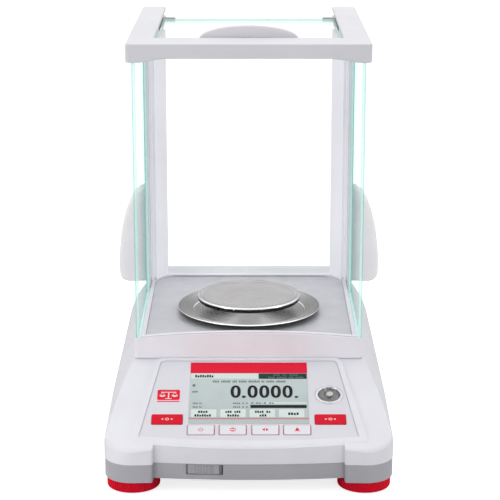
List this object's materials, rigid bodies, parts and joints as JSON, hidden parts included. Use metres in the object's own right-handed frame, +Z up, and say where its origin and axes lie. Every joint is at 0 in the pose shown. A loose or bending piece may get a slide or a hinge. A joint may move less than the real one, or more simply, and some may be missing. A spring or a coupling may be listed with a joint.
{
  "type": "analytical balance",
  "caption": "Analytical balance: sloped keypad and display base with a glass draught shield, sliding side doors, a sliding flip-up top door, round pan, wind ring and screw feet.",
  "frame": {"origin": "centre of the footprint at bench level", "axes": "+Z up, +X to the operator's right, +Y away from the operator"},
  "size_m": [0.2398, 0.356, 0.3501],
  "materials": {
    "white_plastic": "satin white moulded plastic, very fine texture",
    "grey_casting": "die-cast metal painted satin grey",
    "grey_plastic": "satin light grey plastic",
    "grip_plastic": "satin pale grey plastic",
    "dark_plastic": "satin dark grey plastic",
    "red_plastic": "semi-gloss red plastic",
    "rubber": "matt black rubber",
    "shield_glass": "clear float glass with green edges",
    "display_glass": "printed window with the display behind it",
    "vial_glass": "domed clear vial",
    "polished_steel": "polished stainless steel",
    "floor_steel": "brushed stainless sheet",
    "dull_steel": "plain steel",
    "cell_aluminium": "machined aluminium",
    "copper": "enamelled copper winding",
    "circuit_board": "green solder mask"
  },
  "bodies": {
    "base": {"upper_housing": "white_plastic", "lower_housing": "grey_casting", "keypad_overlay": "white_plastic", "display_lens": "display_glass", "lcd_module": "dark_plastic", "display_board": "circuit_board", "level_cup": "polished_steel", "level_vial": "vial_glass", "chamber_floor": "floor_steel", "front_sill": "white_plastic", "rear_post_left": "white_plastic", "rear_post_right": "white_plastic", "rear_sill": "white_plastic", "rear_glass": "shield_glass", "front_glass": "shield_glass", "top_frame": "white_plastic", "weigh_cell_block": "cell_aluminium", "magnet_pot": "dull_steel", "position_sensor": "dark_plastic", "main_board": "circuit_board", "dc_jack": "dark_plastic", "serial_port": "dull_steel", "usb_a_port": "dull_steel", "usb_b_port": "dull_steel", "rear_foot_left": "rubber", "rear_foot_right": "rubber", "security_bracket": "dull_steel"},
    "left_door": {"door_glass_left": "shield_glass", "door_handle_left": "white_plastic", "door_runner_left": "white_plastic"},
    "right_door": {"door_glass_right": "shield_glass", "door_handle_right": "white_plastic", "door_runner_right": "white_plastic"},
    "top_carriage": {"top_runner_left": "dark_plastic", "top_runner_right": "dark_plastic"},
    "top_door": {"top_door_glass": "shield_glass", "top_door_clip_left": "dark_plastic", "top_door_clip_right": "dark_plastic", "top_door_handle": "grip_plastic"},
    "receptor": {"load_receptor": "cell_aluminium", "weigh_below_hook": "dull_steel"},
    "pan": {"weighing_pan": "polished_steel"},
    "wind_ring": {"draft_ring": "polished_steel"},
    "lever": {"lever_beam": "cell_aluminium", "lever_coil": "copper"},
    "guide_upper": {"upper_guide": "dull_steel"},
    "guide_lower": {"lower_guide": "dull_steel"},
    "lock": {"lock_slider": "grey_plastic"},
    "cover": {"hook_cover": "grey_plastic"},
    "left_foot_pad": {"foot_pad_left": "rubber"},
    "left_foot_wheel": {"foot_wheel_left": "red_plastic"},
    "right_foot_pad": {"foot_pad_right": "rubber"},
    "right_foot_wheel": {"foot_wheel_right": "red_plastic"},
    "key_red_left_body": {"key_red_left": "red_plastic"},
    "key_red_right_body": {"key_red_right": "red_plastic"},
    "key_power_body": {"key_power": "white_plastic"},
    "key_print_body": {"key_print": "white_plastic"},
    "key_mode_body": {"key_mode": "white_plastic"},
    "key_adjust_body": {"key_adjust": "white_plastic"}
  },
  "joints": [
    {"name": "left_door_slide", "type": "slide", "parent": "base", "child": "left_door", "axis": [0, 1, 0], "range_m": [0, 0.12]},
    {"name": "right_door_slide", "type": "slide", "parent": "base", "child": "right_door", "axis": [0, 1, 0], "range_m": [0, 0.12]},
    {"name": "top_door_slide", "type": "slide", "parent": "base", "child": "top_carriage", "axis": [0, 1, 0], "range_m": [0, 0.08]},
    {"name": "top_door_flip", "type": "hinge", "parent": "top_carriage", "child": "top_door", "pos_m": [0, 0.128, 0.3353], "axis": [-1, 0, 0], "range_deg": [0, 95]},
    {"name": "receptor_travel", "type": "slide", "parent": "base", "child": "receptor", "axis": [0, 0, 1], "range_m": [-0.0003, 0.0003], "stiffness_N_per_m": 40000},
    {"name": "pan_lift", "type": "slide", "parent": "receptor", "child": "pan", "axis": [0, 0, 1], "range_m": [0, 0.06]},
    {"name": "ring_lift", "type": "slide", "parent": "base", "child": "wind_ring", "axis": [0, 0, 1], "range_m": [0, 0.007]},
    {"name": "lever_tilt", "type": "hinge", "parent": "base", "child": "lever", "pos_m": [0, 0.06, 0.07], "axis": [1, 0, 0], "range_deg": [-0.6, 0.6]},
    {"name": "upper_guide_flex", "type": "hinge", "parent": "base", "child": "guide_upper", "pos_m": [0, 0.056, 0.0764], "axis": [1, 0, 0], "range_deg": [-0.7, 0.7]},
    {"name": "lower_guide_flex", "type": "hinge", "parent": "base", "child": "guide_lower", "pos_m": [0, 0.056, 0.0274], "axis": [1, 0, 0], "range_deg": [-0.7, 0.7]},
    {"name": "lock_slide", "type": "slide", "parent": "base", "child": "lock", "axis": [1, 0, 0], "range_m": [0, 0.0024]},
    {"name": "hook_cover_swivel", "type": "hinge", "parent": "base", "child": "cover", "pos_m": [0.017, 0.0165, 0.011], "axis": [0, 0, 1], "range_deg": [0, 90]},
    {"name": "left_foot_extend", "type": "slide", "parent": "base", "child": "left_foot_pad", "axis": [0, 0, -1], "range_m": [0, 0.004]},
    {"name": "left_foot_turn", "type": "hinge", "parent": "left_foot_pad", "child": "left_foot_wheel", "pos_m": [-0.092, -0.155, 0.005], "axis": [0, 0, 1], "range_deg": [0, 960.1]},
    {"name": "right_foot_extend", "type": "slide", "parent": "base", "child": "right_foot_pad", "axis": [0, 0, -1], "range_m": [0, 0.004]},
    {"name": "right_foot_turn", "type": "hinge", "parent": "right_foot_pad", "child": "right_foot_wheel", "pos_m": [0.092, -0.155, 0.005], "axis": [0, 0, 1], "range_deg": [0, 960.1]},
    {"name": "key_red_left_press", "type": "slide", "parent": "base", "child": "key_red_left_body", "axis": [0, 0.3256, -0.9455], "range_m": [0, 0.0006], "stiffness_N_per_m": 700},
    {"name": "key_red_right_press", "type": "slide", "parent": "base", "child": "key_red_right_body", "axis": [0, 0.3256, -0.9455], "range_m": [0, 0.0006], "stiffness_N_per_m": 700},
    {"name": "key_power_press", "type": "slide", "parent": "base", "child": "key_power_body", "axis": [0, 0.3256, -0.9455], "range_m": [0, 0.0006], "stiffness_N_per_m": 700},
    {"name": "key_print_press", "type": "slide", "parent": "base", "child": "key_print_body", "axis": [0, 0.3256, -0.9455], "range_m": [0, 0.0006], "stiffness_N_per_m": 700},
    {"name": "key_mode_press", "type": "slide", "parent": "base", "child": "key_mode_body", "axis": [0, 0.3256, -0.9455], "range_m": [0, 0.0006], "stiffness_N_per_m": 700},
    {"name": "key_adjust_press", "type": "slide", "parent": "base", "child": "key_adjust_body", "axis": [0, 0.3256, -0.9455], "range_m": [0, 0.0006], "stiffness_N_per_m": 700}
  ],
  "couplings": [
    {"joint": "lever_tilt", "follows": "receptor_travel", "rad_per_m": -28.571},
    {"joint": "upper_guide_flex", "follows": "receptor_travel", "rad_per_m": -31.25},
    {"joint": "lower_guide_flex", "follows": "receptor_travel", "rad_per_m": -31.25},
    {"joint": "left_foot_turn", "follows": "left_foot_extend", "rad_per_m": 4188.8},
    {"joint": "right_foot_turn", "follows": "right_foot_extend", "rad_per_m": 4188.8}
  ]
}
